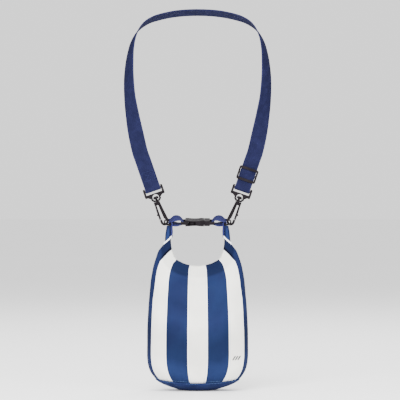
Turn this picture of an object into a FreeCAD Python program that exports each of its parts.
"""Roll-top dry bag for laundry, hanging from its shoulder strap.

The strap's crown lies over a shoulder or a peg. Its two ends hold swivel snap hooks, the hooks hold the
D-rings of the bag, and the rolled top of the bag is bent up into a carrying loop and closed by a buckle.

Frame: millimetres, origin under the strap's crown, +Z up, +X to the right, +Y to the back of the bag.
Left-hand hardware is modelled once and mirrored in X.
"""
import math
import os

import FreeCAD
import Part

V = FreeCAD.Vector
X_AXIS, Y_AXIS, Z_AXIS = V(1, 0, 0), V(0, 1, 0), V(0, 0, 1)
ORIGIN = V(0, 0, 0)

# ---- Shoulder strap: 25 mm webbing. The strap's front ply lies in -WEB_THICK < y < 0 ----
WEB_WIDTH = 25.0
WEB_THICK = 1.5
STRAP_LEAN = 19.0  # degrees that each strap end and its hook lean from the vertical
BAR = V(-71.0, 0, -277.0)  # middle of the left bracket's webbing bar
BAR_R = 1.6
STRAIGHT_RUN = 64.0  # the strap is straight and flat this far above the bar, for the adjuster to slide on
SEWN_FOLD = 32.0  # the left end is folded back and sewn up to here
LOOP_TOP = 14.0  # where the two plies that go round the bar meet
# Half of the arch above the straight run, from the left: x, z and how far the face is turned to the front
ARCH = [
    (-97.4, -192.5, 84.0),
    (-103.2, -162.0, 62.0),
    (-107.8, -130.0, 47.0),
    (-109.3, -100.0, 39.0),
    (-108.0, -72.0, 29.0),
    (-104.2, -47.0, 17.0),
    (-96.5, -27.0, 4.0),
    (-84.0, -13.0, -10.0),
    (-66.0, -4.0, -18.0),
    (-35.0, 2.8, -20.0),
]
CROWN = (0.0, 4.9, -20.0)

# ---- Strap adjuster (three-bar slide) on the right strap end, z measured up from the bar ----
SLIDE_AT = 25.3
SLIDE_HALF = 11.2
SLIDE_OUTER = 15.8
SLIDE_INNER = 12.9
SLIDE_BAR = 3.9
SLIDE_FRONT, SLIDE_FACE = -4.0, -1.8  # the two outer bars pass in front of the webbing
SLIDE_CORE_R, SLIDE_CORE_Y = 1.2, 3.1  # the middle bar passes behind it

# ---- Swivel bracket and snap hook, z measured up from the bar ----
BRACKET_HALF, BRACKET_ARM, BRACKET_DEPTH = 16.4, 3.4, 4.4
BRACKET_TOP, CROSSBAR_TOP, CROSSBAR_LOW = 4.4, -6.2, -11.0
YOKE_HALF, YOKE_GAP, COLLAR_TOP, COLLAR_LOW = 8.0, 5.0, -16.0, -20.0
COLLAR_R, BORE_R, STEM_R, HEAD_R = 5.0, 2.06, 2.0, 4.2
HOOK_GAP = 0.3
EYE_X, EYE_Z = 0.9, -54.0  # middle of the hook's eye
EYE_R, HOOK_R = 4.7, 1.9
# The hook's thick back, x and z: down its outer edge and up its inner edge
SPINE = [(3.7, -21.0), (5.6, -36.0), (7.7, -51.5), (7.2, -55.0), (4.6, -54.6), (3.5, -51.5), (1.5, -48.5),
         (0.4, -36.0), (-0.4, -24.0)]
SPINE_HALF_Y, POCKET = 2.6, 0.9
GATE_PIVOT = (-4.1, -24.8)
GATE_IN, GATE_OUT, GATE_TIP = -2.8, -6.2, -49.2

# ---- D-rings, webbing tabs and side-release buckle, closing the top of the loop ----
RING_R = 1.3
RING_HALF = 12.0
RING_BAR_X = 42.7
RING_LEAN = 20.0  # the front of each ring hangs lower
TAB_WIDTH, TAB_THICK = 18.6, 1.4
TAB_ARCH = 8.3  # how far the tab's slack upper ply stands above the bars
BUCKLE_TILT = 10.0  # the buckle's flat face leans to the front
BUCKLE_BAR_X, BUCKLE_BAR_R = 25.2, 1.6
BUCKLE_HALF_W, BUCKLE_HALF_T = 13.5, 4.75
BUCKLE_WALL_X, BUCKLE_MOUTH_X = 19.5, 10.2
CAVITY_HALF_W, CAVITY_HALF_T = 11.5, 2.9
ARM_PIVOT = (8.4, 7.9)  # x, |y| of each latch arm's root

# ---- Rolled top: a flat roll bent into a U, y from -ROLL_HALF to ROLL_HALF ----
ROLL_HALF, ROLL_THICK = 12.0, 8.0
ROLL_INNER_X = 42.5
ROLL_TOP_Z, ROLL_SIDE_Z = -335.4, -358.0  # the roll's ends are straight between these
# Bends of the roll's inner face from there to the middle: radius and degrees, with a short straight after each
ROLL_BENDS = [(56.0, 22.0, 4.0), (15.5, 38.0, 0.0)]
STIFFENER_HALF, STIFFENER_THICK = 9.0, 1.2

# ---- Bag body: z, half width and half depth of its level sections, from the shoulders to the base ----
BODY = [
    (-358.0, 51.5, 10.0),
    (-374.0, 62.5, 12.0),
    (-398.0, 70.2, 16.0),
    (-422.0, 74.8, 25.0),
    (-462.0, 78.6, 39.0),
    (-505.0, 80.4, 47.0),
    (-545.0, 80.3, 49.0),
    (-563.0, 76.8, 46.5),
    (-577.0, 67.8, 41.0),
    (-587.0, 53.5, 32.0),
]
BASE_Z, BASE_HALF_W, BASE_HALF_D = -595.6, 29.0, 18.0
BASE_SEAM_Z = -583.0
FABRIC = 1.2
TAPE_THICK, TAPE_HALF, TAPE_GAP = 0.6, 5.0, 0.05


def export(name, shape):
    """Writes one node's STEP, and stops if it isn't a sound closed solid."""
    shape = shape.removeSplitter()
    solids = shape.Solids
    if not solids or not shape.isValid() or min(s.Volume for s in solids) <= 0:
        raise SystemExit(name + " isn't a valid solid")
    whole = solids[0] if len(solids) == 1 else Part.makeCompound(solids)
    whole.exportStep(os.path.join("parts", name + ".step"))
    print(f"{name:22s} {len(solids)} solid(s) {shape.Volume / 1000:8.3f} cm3")


def mirrored(shape):
    """The right-hand copy of a left-hand shape."""
    return shape.mirror(ORIGIN, X_AXIS)


def on_strap(shape):
    """Moves a shape from the strap end's own frame (origin on the bar, +Z up the strap) to the left strap end."""
    placed = shape.copy()
    placed.Placement = FreeCAD.Placement(BAR, FreeCAD.Rotation(Y_AXIS, -STRAP_LEAN))
    return placed


def box(x0, x1, y0, y1, z0, z1):
    return Part.makeBox(x1 - x0, y1 - y0, z1 - z0, V(x0, y0, z0))


def rod(radius, start, end):
    return Part.makeCylinder(radius, (end - start).Length, start, end - start)


def line(a, b):
    return Part.LineSegment(a, b).toShape()


def arc(a, middle, b):
    return Part.Arc(a, middle, b).toShape()


def rounded(shape, radius, direction):
    """Rounds the straight edges that run along a direction."""
    def runs_along(e):
        a, b = e.Vertexes[0].Point, e.Vertexes[-1].Point
        return len(e.Vertexes) == 2 and (b - a).Length > 0 and abs((b - a).normalize().dot(direction)) > 0.999
    return shape.makeFillet(radius, [e for e in shape.Edges if runs_along(e)])


def tangent_point(point, centre, radius, side):
    """Where a line from a point (as two numbers) touches a circle; side is +1 or -1."""
    dx, dz = point[0] - centre[0], point[1] - centre[1]
    angle = math.atan2(dz, dx) + side * math.acos(radius / math.hypot(dx, dz))
    return centre[0] + radius * math.cos(angle), centre[1] + radius * math.sin(angle)


def teardrop(radius, top, half_width, width):
    """A solid round a bar on the X axis, whose sides run up to z = top, where it is 2 * half_width thick."""
    right = tangent_point((half_width, top), (0, 0), radius, -1)
    left = (-right[0], right[1])
    corners = [V(-width / 2, y, z) for y, z in (right, (half_width, top), (-half_width, top), left)]
    edges = [line(corners[i], corners[i + 1]) for i in range(3)]
    edges.append(arc(corners[3], V(-width / 2, 0, -radius), corners[0]))
    return Part.Face(Part.Wire(edges)).extrude(V(width, 0, 0))


# ------------------------------------------------------------------ shoulder strap
def strap_section(centre, along, outward, turn):
    """The webbing's section at a point of the arch, its face turned from edge-on towards the front."""
    turn = math.radians(turn)
    across = Y_AXIS * math.cos(turn) + outward * math.sin(turn)
    normal = along.cross(across)
    across, normal = across * (WEB_WIDTH / 2), normal * (WEB_THICK / 2)
    corners = [centre + across + normal, centre + across - normal, centre - across - normal, centre - across + normal]
    return Part.makePolygon(corners + corners[:1])


def strap_arch():
    """The twisting part of the strap, over the crown, from one straight run to the other."""
    lean = math.radians(STRAP_LEAN)
    start = (BAR.x - STRAIGHT_RUN * math.sin(lean), BAR.z + STRAIGHT_RUN * math.cos(lean), 90.0)
    half = [start] + ARCH
    stations = half + [CROWN] + [(-x, z, turn) for x, z, turn in reversed(half)]
    middle = -WEB_THICK / 2
    points = [V(x, middle, z) for x, z, _ in stations]
    spine = Part.BSplineCurve()
    spine.interpolate(
        Points=points,
        InitialTangent=V(-math.sin(lean), 0, math.cos(lean)),
        FinalTangent=V(-math.sin(lean), 0, -math.cos(lean)),
    )
    sections = []
    for point, (_, _, turn) in zip(points, stations):
        along = spine.tangent(spine.parameter(point))[0]
        outward = V(-along.z, 0, along.x)
        sections.append(strap_section(point, along, outward, turn))
    return Part.makeLoft(sections, True, False)


def strap_end(folded):
    """A strap end in its own frame: the straight run and its turn round the bar, with or without a sewn fold."""
    half = WEB_WIDTH / 2
    run = box(-half, half, -WEB_THICK, 0, LOOP_TOP, STRAIGHT_RUN)
    turn = teardrop(BAR_R + 0.15 + WEB_THICK, LOOP_TOP, WEB_THICK, WEB_WIDTH)
    hole = teardrop(BAR_R + 0.15, LOOP_TOP - 3, 0.05, WEB_WIDTH)
    end = run.fuse(turn.cut(hole))
    if folded:
        end = end.fuse(box(-half, half, 0, WEB_THICK, LOOP_TOP, SEWN_FOLD))
    return on_strap(end)


def shoulder_webbing():
    return strap_arch().fuse([strap_end(True), mirrored(strap_end(False))])


def strap_return_ply():
    """The ply that comes back up from the right bar, behind the strap, to the adjuster."""
    half = WEB_WIDTH / 2
    top = SLIDE_AT - SLIDE_CORE_R - 0.1 - WEB_THICK - 0.1
    return mirrored(on_strap(box(-half, half, 0.1, 0.1 + WEB_THICK, LOOP_TOP, top)))


def strap_tail_fold():
    """The end of the webbing, folded round the adjuster's middle bar and sewn back on itself."""
    inner = SLIDE_CORE_R + 0.1
    outer = inner + WEB_THICK
    half = WEB_WIDTH / 2
    ring = rod(outer, V(-half, SLIDE_CORE_Y, SLIDE_AT), V(half, SLIDE_CORE_Y, SLIDE_AT))
    back = SLIDE_CORE_Y + inner
    stub = box(-half, half, back - WEB_THICK / 2, back + WEB_THICK / 2, SLIDE_AT - SLIDE_HALF, SLIDE_AT - 1)
    hole = rod(inner, V(-half, SLIDE_CORE_Y, SLIDE_AT), V(half, SLIDE_CORE_Y, SLIDE_AT))
    return mirrored(on_strap(ring.fuse(stub).cut(hole)))


def strap_adjuster():
    """Two bars in front of the webbing, one behind it, and two side rails that join them."""
    low, high = SLIDE_AT - SLIDE_HALF, SLIDE_AT + SLIDE_HALF
    outer = box(-SLIDE_OUTER, SLIDE_OUTER, SLIDE_FRONT, SLIDE_FACE, low, high)
    outer = rounded(outer, 3.0, Y_AXIS)
    window = box(-SLIDE_INNER, SLIDE_INNER, SLIDE_FRONT, SLIDE_FACE, low + SLIDE_BAR, high - SLIDE_BAR)
    frame = outer.cut(window)
    rail_back = SLIDE_CORE_Y + SLIDE_CORE_R
    profile = [(SLIDE_FACE, low + 2.6), (rail_back, SLIDE_AT - 2.6), (rail_back, SLIDE_AT + 2.6),
               (SLIDE_FACE, high - 2.6)]
    for side in (-1, 1):
        corners = [V(side * SLIDE_INNER, y, z) for y, z in profile]
        rail = Part.Face(Part.makePolygon(corners + corners[:1]))
        frame = frame.fuse(rail.extrude(V(side * (SLIDE_OUTER - SLIDE_INNER), 0, 0)))
    core = rod(SLIDE_CORE_R, V(-SLIDE_INNER, SLIDE_CORE_Y, SLIDE_AT), V(SLIDE_INNER, SLIDE_CORE_Y, SLIDE_AT))
    return mirrored(on_strap(frame.fuse(core)))


# ------------------------------------------------------------------ swivel bracket, snap hook and gate
def swivel_bracket():
    """Frame that the webbing goes round, with a collar below it in which the hook turns."""
    half, depth = BRACKET_HALF, BRACKET_DEPTH / 2
    body = box(-half, half, -depth, depth, CROSSBAR_LOW, BRACKET_TOP)
    body = rounded(body, 1.8, Y_AXIS)
    inside = half - BRACKET_ARM
    slot = box(-inside, inside, -depth, depth, CROSSBAR_TOP, BRACKET_TOP)
    shoulders = [V(x, -depth, z) for x, z in ((-12.0, CROSSBAR_LOW), (12.0, CROSSBAR_LOW),
                                              (YOKE_HALF, -14.0), (-YOKE_HALF, -14.0))]
    gusset = Part.Face(Part.makePolygon(shoulders + shoulders[:1])).extrude(V(0, 2 * depth, 0))
    low = [V(x, -depth, z) for x, z in ((-YOKE_HALF, CROSSBAR_LOW), (YOKE_HALF, CROSSBAR_LOW), (YOKE_HALF, -16.5),
                                        (COLLAR_R, COLLAR_LOW), (-COLLAR_R, COLLAR_LOW), (-YOKE_HALF, -16.5))]
    yoke = Part.Face(Part.makePolygon(low + low[:1])).extrude(V(0, 2 * depth, 0))
    collar = Part.makeCylinder(COLLAR_R, COLLAR_TOP - COLLAR_LOW, V(0, 0, COLLAR_LOW))
    body = body.cut(slot).fuse([gusset, yoke, collar])
    gap_top = -13.2
    gap = box(-YOKE_GAP, YOKE_GAP, -6, 6, COLLAR_TOP, gap_top)
    gap = gap.fuse(Part.makeCylinder(YOKE_GAP, 12, V(0, -6, gap_top), Y_AXIS))
    bore = Part.makeCylinder(BORE_R, 10, V(0, 0, COLLAR_LOW - 3))
    body = body.cut(gap).cut(bore)
    return on_strap(body.fuse(rod(BAR_R, V(-inside, 0, 0), V(inside, 0, 0))))


def gate_seat(clearance):
    x, z = GATE_PIVOT
    return Part.makeCylinder(1.7 + clearance, 4.0 + 4 * clearance, V(x, -2.0 - 2 * clearance, z), Y_AXIS)


def plate(outline, half_y):
    """A flat plate from an outline of x and z, from -half_y to half_y."""
    corners = [V(x, -half_y, z) for x, z in outline]
    return Part.Face(Part.makePolygon(corners + corners[:1])).extrude(V(0, 2 * half_y, 0))


def spine_pocket():
    """The recess in each face of the hook's back, which leaves a rib round its edge."""
    outline = [(2.9, -26.0), (4.5, -36.0), (6.4, -48.5), (4.9, -48.5), (3.0, -46.0), (1.6, -36.0), (1.0, -26.0)]
    front = plate(outline, POCKET / 2)
    return [front.translated(V(0, side * (SPINE_HALF_Y - POCKET / 2), 0)) for side in (-1, 1)]


def snap_hook():
    """Swivel head and stem, shank, ribbed back and the round nose that holds the D-ring."""
    head = Part.makeCylinder(HEAD_R, 4.3, V(0, 0, COLLAR_TOP + HOOK_GAP))
    head = head.makeFillet(2.4, [e for e in head.Edges if e.BoundBox.ZMin > COLLAR_TOP + 2])
    stem = Part.makeCylinder(STEM_R, 7.0, V(0, 0, COLLAR_LOW - 2))
    shank = rounded(box(-6.0, 3.9, -3.1, 3.1, -26.0, COLLAR_LOW - HOOK_GAP), 1.2, Z_AXIS)
    centre = V(EYE_X, 0, EYE_Z)
    def around(degrees):
        a = math.radians(degrees)
        return centre + V(EYE_R * math.cos(a), 0, EYE_R * math.sin(a))
    tip = around(180) + V(0, 0, 4.2)
    path = Part.Wire([arc(around(20), around(-80), around(180)), line(around(180), tip)])
    along = V(math.sin(math.radians(20)), 0, -math.cos(math.radians(20)))
    section = Part.Wire(Part.makeCircle(HOOK_R, around(20), along))
    nose = path.makePipeShell([section], True, True)
    hook = head.fuse([stem, shank, nose, plate(SPINE, SPINE_HALF_Y)])
    hook = hook.cut(gate_seat(0.15)).cut(spine_pocket())
    clear = [(-7.0, -22.8), (-2.1, -22.8), (-2.1, -27.5), (-7.0, -27.5)]
    return on_strap(hook.cut(plate(clear, 2.3)))


def hook_gate():
    """The sprung tongue that closes the hook's eye, with its thumb nub."""
    pivot_x, pivot_z = GATE_PIVOT
    outline = [(pivot_x + 0.9, pivot_z), (GATE_IN, -28.0), (GATE_IN, GATE_TIP), (GATE_OUT + 0.3, GATE_TIP),
               (GATE_OUT, -36.0), (pivot_x - 1.6, pivot_z)]
    nub = Part.makeCylinder(1.6, 4.0, V(GATE_OUT + 0.2, -2.0, -41.0), Y_AXIS)
    return on_strap(gate_seat(0).fuse([plate(outline, 2.0), nub]))


# ------------------------------------------------------------------ D-rings, tabs and buckle
def eye_centre():
    """The middle of the left hook's eye in the bag's frame."""
    lean = math.radians(STRAP_LEAN)
    x, z = math.cos(lean) * EYE_X - math.sin(lean) * EYE_Z, math.sin(lean) * EYE_X + math.cos(lean) * EYE_Z
    return V(BAR.x + x, 0, BAR.z + z)


EYE = eye_centre()
SWING_Z = EYE.z - EYE_R  # the bag swings about the middle of the two hooks' noses
# The ring's leaning wire lies just above the nose
RING_Z = SWING_Z + (HOOK_R + RING_R + HOOK_GAP) / math.cos(math.radians(RING_LEAN))


def d_ring():
    """A closed D of round wire: its straight bar in the tab, its round end in the hook."""
    bar, outer, top = -RING_BAR_X, EYE.x, RING_HALF
    bend, turn = 2.0, 8.0
    lean = math.radians(RING_LEAN)
    up_lean = V(0, math.cos(lean), math.sin(lean))
    def at(x, y):
        return V(x, 0, RING_Z) + up_lean * y
    diagonal = 1 - math.sqrt(0.5)
    small = (at(bar, top - bend), at(bar - bend * diagonal, top - bend * diagonal), at(bar - bend, top))
    large = (at(outer + turn, top), at(outer + turn * diagonal, top - turn * diagonal), at(outer, top - turn))
    half_path = Part.Wire([line(at(bar, 0), small[0]), arc(*small), line(small[2], large[0]), arc(*large),
                           line(large[2], at(outer, 0))])
    section = Part.Wire(Part.makeCircle(RING_R, at(bar, 0), up_lean))
    half = half_path.makePipeShell([section], True, True)
    return half.fuse(half.mirror(at(0, 0), up_lean))


def tab_outline(inset, y):
    """The tab's loop round the ring's bar and the buckle's leaning bar, cut across at y."""
    ring_r = RING_R + 0.1 + TAB_THICK - inset
    bar_r = BUCKLE_BAR_R + 0.1 + TAB_THICK - inset
    ring = V(-RING_BAR_X, y, RING_Z + y * math.tan(math.radians(RING_LEAN)))
    bar = V(-BUCKLE_BAR_X, y, RING_Z + y * math.tan(math.radians(BUCKLE_TILT)))
    def round_point(centre, radius, degrees):
        a = math.radians(degrees)
        return centre + V(radius * math.cos(a), 0, radius * math.sin(a))
    left_up, right_up = round_point(ring, ring_r, 135), round_point(bar, bar_r, 40)
    peak = V((ring.x + bar.x) / 2 - 0.6, y, (ring.z + bar.z) / 2 + TAB_ARCH - inset)
    return Part.Wire([
        arc(left_up, peak, right_up),
        arc(right_up, round_point(bar, bar_r, -25), round_point(bar, bar_r, -90)),
        line(round_point(bar, bar_r, -90), round_point(ring, ring_r, -90)),
        arc(round_point(ring, ring_r, -90), round_point(ring, ring_r, -160), left_up),
    ])


TAIL_X = (-42.45, -39.7)  # the tab's sewn tail, on the roll's inner face
TAIL_LOW = -353.0


def tab_tail():
    """The tail's upper end follows the leaning loop."""
    half, rise = TAB_WIDTH / 2, TAB_WIDTH / 2 * math.tan(math.radians(RING_LEAN))
    top = RING_Z - RING_R - 0.1 - TAB_THICK / 2
    corners = [V(TAIL_X[0], y, z) for y, z in ((-half, TAIL_LOW), (half, TAIL_LOW), (half, top + rise),
                                               (-half, top - rise))]
    return Part.Face(Part.makePolygon(corners + corners[:1])).extrude(V(TAIL_X[1] - TAIL_X[0], 0, 0))


def webbing_tab():
    """A loop of webbing that joins the D-ring to the buckle, and the tail that is sewn into the roll."""
    half = TAB_WIDTH / 2
    outer, inner = (
        Part.makeLoft([tab_outline(inset, -half), tab_outline(inset, half)], True, True) for inset in (0, TAB_THICK)
    )
    return outer.cut(inner).fuse(tab_tail())


def tilted(shape):
    """Leans a buckle part to the front, about the line through both webbing bars."""
    turned = shape.copy()
    turned.rotate(ORIGIN, X_AXIS, BUCKLE_TILT)
    turned.translate(V(0, 0, RING_Z))
    return turned


def buckle_end(side):
    """The webbing bar and its two rails at one end of the buckle, in the buckle's own frame."""
    tip = side * (BUCKLE_BAR_X + BUCKLE_BAR_R)
    wall = side * (BUCKLE_WALL_X - 1)
    low, high = min(tip, wall), max(tip, wall)
    rail = 2.4
    end = rod(BUCKLE_BAR_R, V(side * BUCKLE_BAR_X, -BUCKLE_HALF_W + 1, 0), V(side * BUCKLE_BAR_X, BUCKLE_HALF_W - 1, 0))
    for y in (-BUCKLE_HALF_W, BUCKLE_HALF_W - rail):
        end = end.fuse(rounded(box(low, high, y, y + rail, -2.2, 2.2), 1.0, Y_AXIS))
    return end


def waisted(shape):
    """Hollows the buckle's broad faces a little for finger and thumb."""
    radius, middle = 62.0, -4.6
    for side in (-1, 1):
        z = side * (BUCKLE_HALF_T + radius - 1.0)
        shape = shape.cut(Part.makeCylinder(radius, 40, V(middle, -20, z), Y_AXIS))
    return shape


def buckle_socket():
    """The hollow half, with a window in each side through which the latch arms are pressed."""
    w, t = BUCKLE_HALF_W, BUCKLE_HALF_T
    body = rounded(box(-BUCKLE_WALL_X, BUCKLE_MOUTH_X, -w, w, -t, t), 2.0, X_AXIS)
    body = waisted(body)
    cavity = box(-BUCKLE_WALL_X + 2.5, BUCKLE_MOUTH_X, -CAVITY_HALF_W, CAVITY_HALF_W, -CAVITY_HALF_T, CAVITY_HALF_T)
    window = rounded(box(-16.0, -3.0, -w - 1, w + 1, -CAVITY_HALF_T, CAVITY_HALF_T), 2.2, Y_AXIS)
    return tilted(body.fuse(buckle_end(-1)).cut(cavity).cut(window))


def arm_root(side, clearance):
    x, y = ARM_PIVOT
    return Part.makeCylinder(1.6 + clearance, 4.8 + 2 * clearance, V(x, side * y, -2.4 - clearance), Z_AXIS)


def latch_arm(side):
    """A springy arm of the plug, with the head that is pressed in the socket's window."""
    x, y = ARM_PIVOT
    outline = [(x, y - 1.4), (-12.6, 5.6), (-14.6, 8.0), (-11.5, 11.1), (-5.2, 11.1), (-4.6, 9.0), (x, y + 1.4)]
    corners = [V(px, side * py, -2.4) for px, py in outline]
    arm = Part.Face(Part.makePolygon(corners + corners[:1])).extrude(V(0, 0, 4.8))
    return tilted(arm.fuse(arm_root(side, 0)))


def buckle_plug():
    """The half that carries the latch arms and a guide tongue between them."""
    w, start = BUCKLE_HALF_W, BUCKLE_MOUTH_X + 0.3
    block = rounded(box(start, BUCKLE_WALL_X, -w, w, -4.3, 4.3), 1.8, X_AXIS)
    hub = box(4.6, start + 0.5, -10.4, 10.4, -2.5, 2.5)
    tongue = box(-9.0, 5.0, -2.0, 2.0, -2.0, 2.0)
    plug = block.fuse([hub, tongue, buckle_end(1)])
    for side in (-1, 1):
        seat = box(2.0, ARM_PIVOT[0], side * ARM_PIVOT[1] - 3.2, side * ARM_PIVOT[1] + 3.2, -3, 3)
        plug = plug.cut(seat).cut(arm_root(side, 0.12))
    return tilted(plug)


# ------------------------------------------------------------------ rolled top
def hole_edge():
    """The hand hole's edge in the XZ plane: the inner face of the roll, from its left end to its right end."""
    at, heading = V(-ROLL_INNER_X, 0, ROLL_SIDE_Z), 0.0
    edges = [line(V(-ROLL_INNER_X, 0, ROLL_TOP_Z), at)]
    def bend(radius, turn):
        def inward(degrees):
            return V(math.cos(math.radians(degrees)), 0, math.sin(math.radians(degrees)))
        centre = at + inward(heading) * radius
        edges.append(arc(at, centre - inward(heading + turn / 2) * radius, centre - inward(heading + turn) * radius))
        return centre - inward(heading + turn) * radius, heading + turn
    for radius, turn, run in ROLL_BENDS:
        at, heading = bend(radius, turn)
        if run:
            a = math.radians(heading)
            edges.append(line(at, at + V(math.sin(a), 0, -math.cos(a)) * run))
            at = at + V(math.sin(a), 0, -math.cos(a)) * run
    bend(-at.x / math.cos(math.radians(heading)), 90 - heading)
    return Part.Wire(edges + [e.mirror(ORIGIN, X_AXIS) for e in reversed(edges)])


def band_along(inner, outer, half, radius):
    """A flat band that follows the hole's edge, from inner to outer away from it and half wide each way in Y."""
    near, far = -ROLL_INNER_X - inner, -ROLL_INNER_X - outer
    corners = [V(x, y, ROLL_TOP_Z) for x, y in ((far, -half), (near, -half), (near, half), (far, half))]
    blank = Part.Face(Part.makePolygon(corners + corners[:1])).extrude(Z_AXIS)
    faces = rounded(blank, radius, Z_AXIS).Faces
    section = min(faces, key=lambda f: f.CenterOfMass.z).OuterWire
    return hole_edge().makePipeShell([section], True, False)


def stiffener():
    middle = ROLL_THICK / 2 + 0.9
    return band_along(middle - STIFFENER_THICK / 2, middle + STIFFENER_THICK / 2, STIFFENER_HALF, 0.4)


def roll_top(inner_part):
    return band_along(0, ROLL_THICK, ROLL_HALF, 3.2).cut(inner_part)


# ------------------------------------------------------------------ bag body
def ellipse_at(z, half_w, half_d):
    ellipse = Part.Ellipse(V(half_w, 0, z), V(0, half_d, z), V(0, 0, z))
    return Part.Wire(ellipse.toShape())


def body_solid(inset):
    """The bag's outer form, or a smaller one inside it."""
    stations = BODY + [(BASE_Z + inset, BASE_HALF_W, BASE_HALF_D)]
    wires = [ellipse_at(z, w - inset, d - inset) for z, w, d in stations]
    return Part.makeLoft(wires, True, False)


def loop_cutter(offset):
    """What the body leaves free for the roll and the hand: all that is inside the roll's outer face."""
    ends = [V(-ROLL_INNER_X, 0, ROLL_TOP_Z), V(ROLL_INNER_X, 0, ROLL_TOP_Z)]
    inside = Part.Face(Part.Wire(hole_edge().Edges + [line(ends[1], ends[0])]))
    solid = inside.makeOffset2D(offset).extrude(V(0, 200, 0))
    solid.translate(V(0, -100, 0))
    return solid


def body_parts():
    """Front, back and base panels of the fabric shell, and the tapes that seal their seams inside."""
    big = 200
    outer = body_solid(0).cut(loop_cutter(ROLL_THICK))
    cavity = body_solid(FABRIC).cut(loop_cutter(ROLL_THICK + FABRIC))
    shell = outer.cut(cavity)
    upper = box(-big, big, -big, big, BASE_SEAM_Z, 0)
    walls = shell.common(upper)
    parts = {
        "front_panel": walls.common(box(-big, big, -big, 0, -700, 0)),
        "back_panel": walls.common(box(-big, big, 0, big, -700, 0)),
        "base_panel": shell.cut(upper),
    }
    lining = body_solid(FABRIC + TAPE_GAP).cut(body_solid(FABRIC + TAPE_GAP + TAPE_THICK))
    ring_low, ring_high = BASE_SEAM_Z - 6, BASE_SEAM_Z + TAPE_HALF
    parts["base_seam_tape"] = lining.common(box(-big, big, -big, big, ring_low, ring_high))
    side = lining.common(box(-big, 0, -TAPE_HALF, TAPE_HALF, ring_high + 0.5, -430))
    parts["left_seam_tape"] = side
    parts["right_seam_tape"] = mirrored(side)
    return parts


def main():
    os.makedirs("parts", exist_ok=True)
    export("shoulder_webbing", shoulder_webbing())
    export("strap_return_ply", strap_return_ply())
    export("strap_tail_fold", strap_tail_fold())
    export("strap_adjuster", strap_adjuster())
    pairs = {
        "swivel_bracket": swivel_bracket(),
        "snap_hook": snap_hook(),
        "hook_gate": hook_gate(),
        "d_ring": d_ring(),
        "webbing_tab": webbing_tab(),
    }
    for name, shape in pairs.items():
        export("left_" + name, shape)
        export("right_" + name, mirrored(shape))
    export("buckle_socket", buckle_socket())
    export("buckle_plug", buckle_plug())
    export("buckle_front_arm", latch_arm(-1))
    export("buckle_rear_arm", latch_arm(1))
    stiff = stiffener()
    export("roll_stiffener", stiff)
    export("roll_top", roll_top(stiff))
    for name, shape in body_parts().items():
        export(name, shape)


main()
